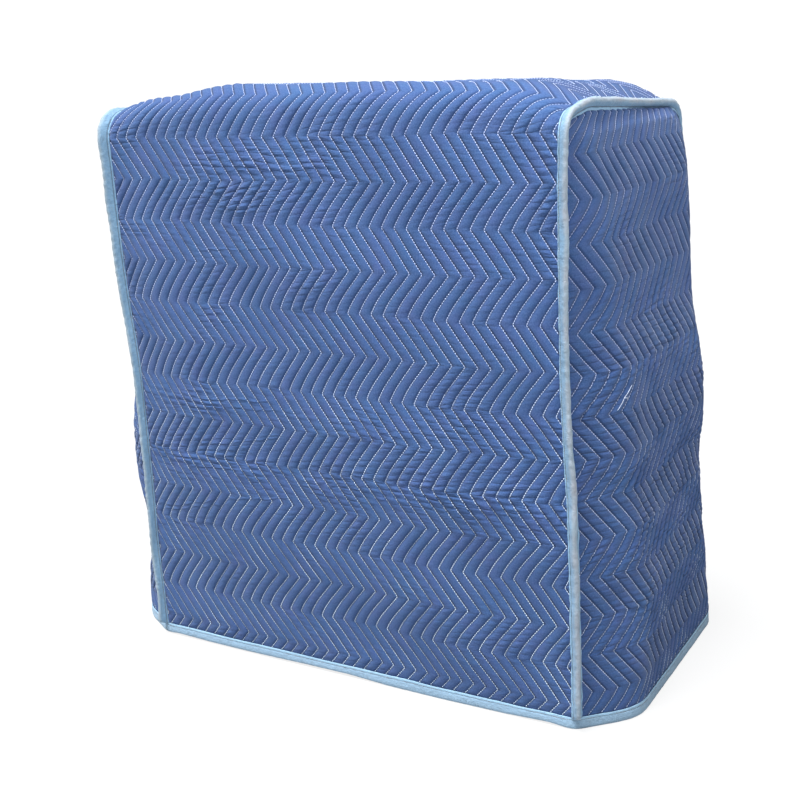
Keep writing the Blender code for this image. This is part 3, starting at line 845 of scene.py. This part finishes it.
def tapeStitches():
    # middles, ways along and ways out of the stitches in each line
    lines = []
    total = float(sum(girthParts(1.0)[4]))
    for side in (1, -1):
        spots, out, across = seamFrame(side, np.arange(0.03, total - 0.03, threads["onTape"]))
        onward = unit(np.roll(spots, -1, 0) - np.roll(spots, 1, 0))
        onward[[0, -1]] = onward[[1, -2]]
        for sign in (1, -1):
            lines.append((spots + out * 0.0021 + across * sign * 0.0070, onward, unit(out + across * sign * 0.5)))
    count = len(hemPlan)
    length = np.arange(0, hemRound, threads["onTape"]) / hemRound * count
    cell, part = length.astype(int), (length % 1)[:, None]
    plan = mix(hemPlan[cell % count], hemPlan[(cell + 1) % count], part)
    out = unit(mix(hemOut[cell % count], hemOut[(cell + 1) % count], part))
    flat = np.zeros((len(cell), 1))
    lines.append((np.concatenate([plan + out * 0.0015, flat + 0.0236 - cover["topUnderside"]], 1),
                  np.concatenate([-out[:, 1:], out[:, :1], flat], 1), np.concatenate([out, flat], 1)))
    return laySpots("tapeStitches", *(np.concatenate(group) for group in zip(*lines)))


tapeThread = tapeStitches()


# ---- finishes

class Wire:
    # a shader value that takes part in sums

    def __init__(self, tree, socket):
        self.tree, self.socket = tree, socket

    def maths(self, operation, *values):
        node = self.tree.nodes.new("ShaderNodeMath")
        node.operation = operation
        for slot, value in zip(node.inputs, values):
            plug(self.tree, slot, value)
        return Wire(self.tree, node.outputs[0])

    def __add__(self, other): return self.maths("ADD", self, other)
    def __radd__(self, other): return self.maths("ADD", other, self)
    def __sub__(self, other): return self.maths("SUBTRACT", self, other)
    def __rsub__(self, other): return self.maths("SUBTRACT", other, self)
    def __mul__(self, other): return self.maths("MULTIPLY", self, other)
    def __rmul__(self, other): return self.maths("MULTIPLY", other, self)
    def __pow__(self, other): return self.maths("POWER", self, other)
    def __abs__(self): return self.maths("ABSOLUTE", self)
    def part(self): return self.maths("FRACT", self)
    def whole(self): return self.maths("FLOOR", self)
    def sine(self): return self.maths("SINE", self)
    def under(self, other): return self.maths("LESS_THAN", self, other)
    def held(self): return self.maths("MINIMUM", self.maths("MAXIMUM", self, 0.0), 1.0)


def plug(tree, slot, value):
    if isinstance(value, Wire):
        tree.links.new(value.socket, slot)
    else:
        slot.default_value = value


class Finish:
    # a material under work, with one way to add any node

    def __init__(self, name, **fixed):
        self.material = bpy.data.materials.new(name)
        self.material.use_nodes = True
        self.tree = self.material.node_tree
        self.shader = self.tree.nodes["Principled BSDF"]
        for slot, value in fixed.items():
            self.shader.inputs[slot.replace("_", " ")].default_value = value

    def node(self, kind, settings=(), slots=(), give=0):
        node = self.tree.nodes.new("ShaderNode" + kind)
        for name, value in dict(settings).items():
            if name == "stops":
                while len(node.color_ramp.elements) < len(value):
                    node.color_ramp.elements.new(0.5)
                for stop, (place, colour) in zip(node.color_ramp.elements, value):
                    stop.position, stop.color = place, colour
            else:
                setattr(node, name, value)
        for name, value in dict(slots).items():
            plug(self.tree, node.inputs[name], value)
        return Wire(self.tree, node.outputs[give])

    def blend(self, factor, first, second):
        node = self.tree.nodes.new("ShaderNodeMix")
        node.data_type = "RGBA"
        plug(self.tree, node.inputs[0], factor)
        plug(self.tree, node.inputs[6], first)
        plug(self.tree, node.inputs[7], second)
        return Wire(self.tree, node.outputs[2])

    def map(self, name):
        return self.node("UVMap", {"uv_map": name})

    def split(self, wire):
        node = self.node("SeparateXYZ", slots={"Vector": wire})
        outputs = node.socket.node.outputs
        return Wire(self.tree, outputs[0]), Wire(self.tree, outputs[1])

    def pair(self, x, y):
        return self.node("CombineXYZ", slots={"X": x, "Y": y})

    def noise(self, vector, scale, detail=2.0, rough=0.5, twist=0.0):
        return self.node("TexNoise", slots={"Vector": vector, "Scale": scale, "Detail": detail,
                                            "Roughness": rough, "Distortion": twist})

    def finish(self, colour, height=None, rough=None):
        plug(self.tree, self.shader.inputs["Base Color"], colour)
        if rough is not None:
            plug(self.tree, self.shader.inputs["Roughness"], rough)
        if height is not None:
            bump = self.node("Bump", slots={"Height": height, "Distance": 1.0, "Strength": 1.0})
            plug(self.tree, self.shader.inputs["Normal"], bump)
        return self.material


clothLook = {
    "blue": (0.043, 0.100, 0.275, 1), "faded": (0.062, 0.130, 0.320, 1), "deep": (0.030, 0.075, 0.220, 1),
    "teal": (0.034, 0.112, 0.275, 1), "violet": (0.066, 0.098, 0.290, 1),
    "light": (0.14, 0.22, 0.43, 1), "dark": (0.018, 0.046, 0.15, 1), "shade": (0.012, 0.028, 0.085, 1),
    "crease": 0.0013, "weave": 0.00006, "threadBands": 279.0, "foldsPerMetre": 80,
}


# long shallow folds across the front's left half: start across and up the cloth, end, and strength
longFolds = [
    (-0.323, 0.546, -0.116, 0.559, 1.0), (-0.401, 0.549, -0.277, 0.540, 0.7), (-0.311, 0.531, -0.094, 0.542, 0.8),
    (-0.256, 0.459, -0.101, 0.487, 1.0), (-0.172, 0.483, -0.098, 0.492, 0.7), (-0.348, 0.446, -0.238, 0.459, 0.7),
    (-0.366, 0.396, -0.211, 0.404, 1.1), (-0.465, 0.285, -0.285, 0.329, 0.9), (-0.285, 0.330, -0.100, 0.362, 0.8),
    (-0.466, 0.277, -0.254, 0.325, 0.8), (-0.278, 0.848, -0.068, 0.862, 0.7), (-0.192, 1.045, 0.049, 1.037, 0.6),
    (0.171, 0.501, 0.254, 0.495, 0.8), (-0.477, 0.886, -0.272, 0.901, 0.4),
]


# the last argument sets how much shade is painted over the top near its right edge
def quiltedCloth(name, lineShade, folds, cornerShade):
    look = Finish(name, Roughness=0.92, Sheen_Weight=0.12, Sheen_Roughness=0.6, Specular_IOR_Level=0.15)
    cloth = look.map("cloth")
    x, y = look.split(cloth)
    line, row = look.split(look.map("quilt"))
    pucker = look.node("Attribute", {"attribute_name": "pucker"}, give=2)
    near = abs(line.part() * 2.0 - 1.0)                     # 1 on a stitch line, 0 between two
    hump = (1.0 - near ** 3.0).held()
    slash = (row * 0.5).part().under(0.5)                   # 1 in rows that lean one way
    above = abs(abs(slash - row.under(-3.5)) + line.part() - 1.0)   # 1 where cloth comes down onto a line

    # puckers, long folds and the small gathers along each thread
    tilt = slash * 0.17 - 0.03
    wander = look.noise(look.pair(x * 7.0 + line.whole() * 0.07, y * 14.0), 1.0, 1.0, 0.5)
    level = y * clothLook["foldsPerMetre"] - x * clothLook["foldsPerMetre"] * tilt + wander * 1.8
    fold = abs((level * pi).sine())
    patches = look.noise(look.pair(x * 15.0, y * 42.0), 1.0, 2.0, 0.5)
    strong = ((patches - 0.36) * 4.0).held() * pucker
    fine = look.noise(look.pair(x * 32.0 + line.whole() * 0.61, row * 15.0 + x * 24.0 * tilt), 1.0, 1.0, 0.45, 0.4)
    crease = (fold ** 0.8 * 1.7 * strong + fine * 1.5 * pucker) * (hump * 0.75 + 0.25)
    wobble = (look.noise(look.pair(x * 26.0, y * 6.0), 1.0, 1.0, 0.5) - 0.5) * 0.011
    ridge = 0.0
    for startX, startY, endX, endY, strength in folds:
        rise = (endY - startY) / (endX - startX)
        off = y + wobble - x * rise - (startY - startX * rise)
        reach = ((x - startX) * 34.0).held() * ((endX - x) * 34.0).held()
        one = (1.0 - abs(off) * 290.0).held() * reach * strength
        ridge = one.maths("MAXIMUM", ridge, one)
    small = look.noise(look.pair(line * 1.6, row * 15.0), 1.0, 1.0, 0.5, 0.3)
    crease = crease + small * near ** 2.0 * 0.5 + ridge * 0.9

    warp, weft = (look.node("TexWave", {"wave_type": "BANDS", "bands_direction": way},
                            {"Vector": cloth, "Scale": clothLook["threadBands"], "Distortion": 0.6}, 1)
                  for way in "XY")
    weave = warp * weft + look.noise(cloth, 700.0, 3.0, 0.7)
    height = crease * clothLook["crease"] + weave * clothLook["weave"]

    fade = look.noise(cloth, 3.2, 3.0, 0.6) * 0.65 + look.noise(cloth, 26.0, 4.0, 0.65) * 0.55
    colour = look.blend(((fade - 0.36) * 1.6).held(), clothLook["deep"], clothLook["faded"])
    corner = ((x - 0.26) * 6.0).held() * ((y - 1.17) * 16.0).held()         # painted shade over the top near its right edge, where it slopes away from the light
    hue, grain = look.noise(cloth, 17.0, 3.0, 0.6), look.noise(cloth, 330.0, 3.0, 0.7)
    lineShade = ((0.80 - y) * 2.0).held() * 0.20 + lineShade                  # the painted shade by the lines grows darker towards the hem
    for share, tint in [
            # the second entry is painted shade over the top near its right edge
            (0.4, "blue"), (corner * cornerShade, "dark"),
            (((hue - 0.50) * 3.4).held() * 0.6, "violet"), (((0.50 - hue) * 3.4).held() * 0.6, "teal"),
            (((grain - 0.46) * 1.3).held(), "light"), (((0.50 - grain) * 1.3).held(), "dark"),
            # painted shade in the valleys of the strong puckers
            ((1.0 - fold * 2.6).held() * strong * 0.65, "shade"),
            # painted shade: a dark band just above each stitch line, where the channel above shades it, and a
            # fainter one on the other side in the rows that lean one way
            (((above - 0.73) * 6.0).held() * (lineShade - slash * (lineShade - 0.34)), "shade"),
            (((0.22 - above) * 6.0).held() * slash * 0.35, "shade")]:
        colour = look.blend(share, colour, clothLook[tint])
    return look.finish(colour, height)


def threadFinish(name, pale, dull, clean):
    # clean: how much whiter the thread is low down, where it has faded less
    look = Finish(name, Roughness=0.7, Sheen_Weight=0.2, Specular_IOR_Level=0.3)
    place = look.node("TexCoord", give=3)
    patch = look.noise(place, 60.0, 3.0, 0.7)
    low = ((look.node("SeparateXYZ", slots={"Vector": place}, give=2) * -1.0 - 0.30) * 1.6).held()
    colour = look.blend(((patch - 0.35) * 2.2).held(), dull, pale)
    return look.finish(look.blend(low * clean, colour, (0.72, 0.86, 1.0, 1)))


def tapeFinish(name, stops, worn, wear):
    # stops run round the fold; worn is the greyer colour of rubbed places
    look = Finish(name, Roughness=0.85, Sheen_Weight=0.15, Sheen_Roughness=0.5, Specular_IOR_Level=0.15)
    place = look.node("TexCoord", give=3)
    around = look.split(look.map("UVMap"))[0]
    colour = look.node("ValToRGB", {"stops": stops}, {"Fac": around})
    crest = (1.15 - abs(around * 2.0 - 1.0) * 3.2).held()
    rub = look.noise(place, 14.0, 4.0, 0.7)
    colour = look.blend(((rub - 0.40) * 3.0).held() * crest * wear, colour, worn)
    soil = look.noise(place, 95.0, 4.0, 0.75)
    colour = look.blend(((soil - 0.52) * 4.0).held() * 0.45, colour, (0.17, 0.22, 0.27, 1))
    pale = look.noise(place, 210.0, 3.0, 0.7)
    colour = look.blend(((pale - 0.50) * 3.0).held() * 0.40, colour, (0.42, 0.56, 0.66, 1))
    tufts = look.noise(place, 520.0, 3.0, 0.75)
    crinkle = look.noise(place, 130.0, 3.0, 0.6)
    return look.finish(colour, tufts * 0.0005 + crinkle * 0.0020)


mainFinish = quiltedCloth("mainCloth", 0.74, longFolds, 0.55)
sideFinish = quiltedCloth("sideCloth", 0.50, [], 0.0)
paleThread = threadFinish("paleThread", (0.63, 0.74, 1.0, 1), (0.47, 0.58, 0.94, 1), 0.85)
sideThread = threadFinish("sideThread", (0.60, 0.68, 0.98, 1), (0.44, 0.52, 0.84, 1), 0.4)
tapeThreadFinish = threadFinish("tapeThread", (0.30, 0.33, 0.38, 1), (0.20, 0.22, 0.28, 1), 0.0)
# from the root inside round one lip to the crest; the other half is the same again
lipBlue, flankBlue, crestGrey = (0.275, 0.475, 0.69, 1), (0.21, 0.37, 0.55, 1), (0.32, 0.41, 0.50, 1)
# the dark stop between lip and flank is painted shade in the slit under the fold
halfStops = [(0.0, lipBlue), (0.22, lipBlue), (0.255, (0.07, 0.12, 0.18, 1)), (0.29, flankBlue), (0.40, flankBlue),
             (0.47, crestGrey)]
seamStops = halfStops + [(1 - place, tint) for place, tint in halfStops[::-1]]
seamTape = tapeFinish("seamTape", seamStops, (0.38, 0.38, 0.43, 1), 0.85)
leftTape = tapeFinish("leftTape", seamStops, (0.36, 0.47, 0.56, 1), 0.75)
hemLight = (0.31, 0.50, 0.68, 1)
# the dark stop at 0.20 is painted shade in the groove along the stitch line
hemTape = tapeFinish("hemTape", [
    (0.0, hemLight), (0.17, hemLight), (0.20, (0.20, 0.33, 0.45, 1)), (0.24, (0.30, 0.46, 0.63, 1)),
    (0.42, (0.30, 0.46, 0.62, 1)), (1.0, (0.24, 0.38, 0.51, 1))], (0.38, 0.44, 0.49, 1), 0.4)
looseWhite = threadFinish("looseThread", (0.80, 0.88, 1.0, 1), (0.66, 0.76, 0.98, 1), 0.0)

finishes = {
    mainPanel: mainFinish, sidePanelRight: sideFinish, sidePanelLeft: sideFinish,
    frontStitches: paleThread, backStitches: paleThread, rightStitches: sideThread, leftStitches: sideThread,
    looseThread: looseWhite,
    seamBindingRight: seamTape, seamBindingLeft: leftTape, hemBinding: hemTape, tapeThread: tapeThreadFinish,
}
for piece, finish in finishes.items():
    piece.data.materials.clear()
    piece.data.materials.append(finish)
    "binding_tape" if finish in (seamTape, leftTape, hemTape, tapeThreadFinish) else "quilted_cloth"
    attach(piece, "root")

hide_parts("main_panel")
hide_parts("side_panel_right")
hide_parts("side_panel_left")
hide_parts("seam_binding_right")
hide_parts("seam_binding_left")
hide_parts("hem_binding")

print("finished:", len(finishes), "pieces")


# ---- floor, lights and camera

studio = {
    "floor": (0.36, 0.37, 0.38, 1), "dust": (0.78, 0.79, 0.81, 1), "card": (1.16, 1.16, 1.16, 1), "evenness": 0.72,
    "world": (0.98, 0.995, 1.0, 1), "seen": 1.2, "ambient": 0.25,
    # kind, place, aim and power of each light; the fill is a soft one by the near corner
    "lights": {
        "keyLight": ("SUN", (-0.16, -0.24, 1.00), (0, 0, 0), 6.1,
                     {"angle": radians(30), "color": (1.0, 0.99, 0.97)}),
        "fillLight": ("AREA", (1.5, -1.25, 1.7), (0.4, -0.2, -0.5), 34, {"shape": "DISK", "size": 0.8}),
    },
}

floor = added("floor", bpy.ops.mesh.primitive_plane_add, size=400, location=(0, 0, 0.0038 - cover["topUnderside"]))
floorLook = Finish("paleFloor", Roughness=0.9)
tone = floorLook.noise(floorLook.node("TexCoord", give=3), 1.5, 2.0)
floor.data.materials.append(floorLook.finish(floorLook.blend(tone * 0.12, studio["floor"], studio["dust"])))
# towards the camera the floor shows mostly as even pale card, so that its shadow stays faint
card = floorLook.node("Emission", slots={"Color": studio["card"], "Strength": 1.0})
faint = floorLook.node("LightPath") * studio["evenness"]
shown = floorLook.node("MixShader", slots={0: faint, 1: Wire(floorLook.tree, floorLook.shader.outputs[0]), 2: card})
plug(floorLook.tree, floorLook.tree.nodes["Material Output"].inputs[0], shown)

world = bpy.data.worlds.new("paleStudio")
world.use_nodes = True
sky = world.node_tree
background = sky.nodes["Background"]
background.inputs[0].default_value = studio["world"]
seen = Wire(sky, sky.nodes.new("ShaderNodeLightPath").outputs[0])
plug(sky, background.inputs[1], seen * (studio["seen"] - studio["ambient"]) + studio["ambient"])
bpy.context.scene.world = world

for name, (kind, place, aim, power, settings) in studio["lights"].items():
    light = added(name, bpy.ops.object.light_add, type=kind, location=place)
    light.data.energy = power
    for setting, value in settings.items():
        setattr(light.data, setting, value)
    light.rotation_euler = (Vector(place) - Vector(aim)).to_track_quat("Z", "Y").to_euler()

camera = added("camera", bpy.ops.object.camera_add)
right, up, ahead = (0.8661, 0.4972, -0.0521), (-0.0972, 0.2696, 0.9581), (-0.4904, 0.8247, -0.2818)
stand = (1.2615, -2.1320, 0.0743)
camera.matrix_world = Matrix([[right[k], up[k], -ahead[k], stand[k]] for k in range(3)] + [[0, 0, 0, 1]])
camera.data.lens, camera.data.sensor_width = 55.03, 36
camera.data.clip_end = 100
bpy.context.scene.camera = camera
bpy.context.scene.view_settings.view_transform = "Standard"
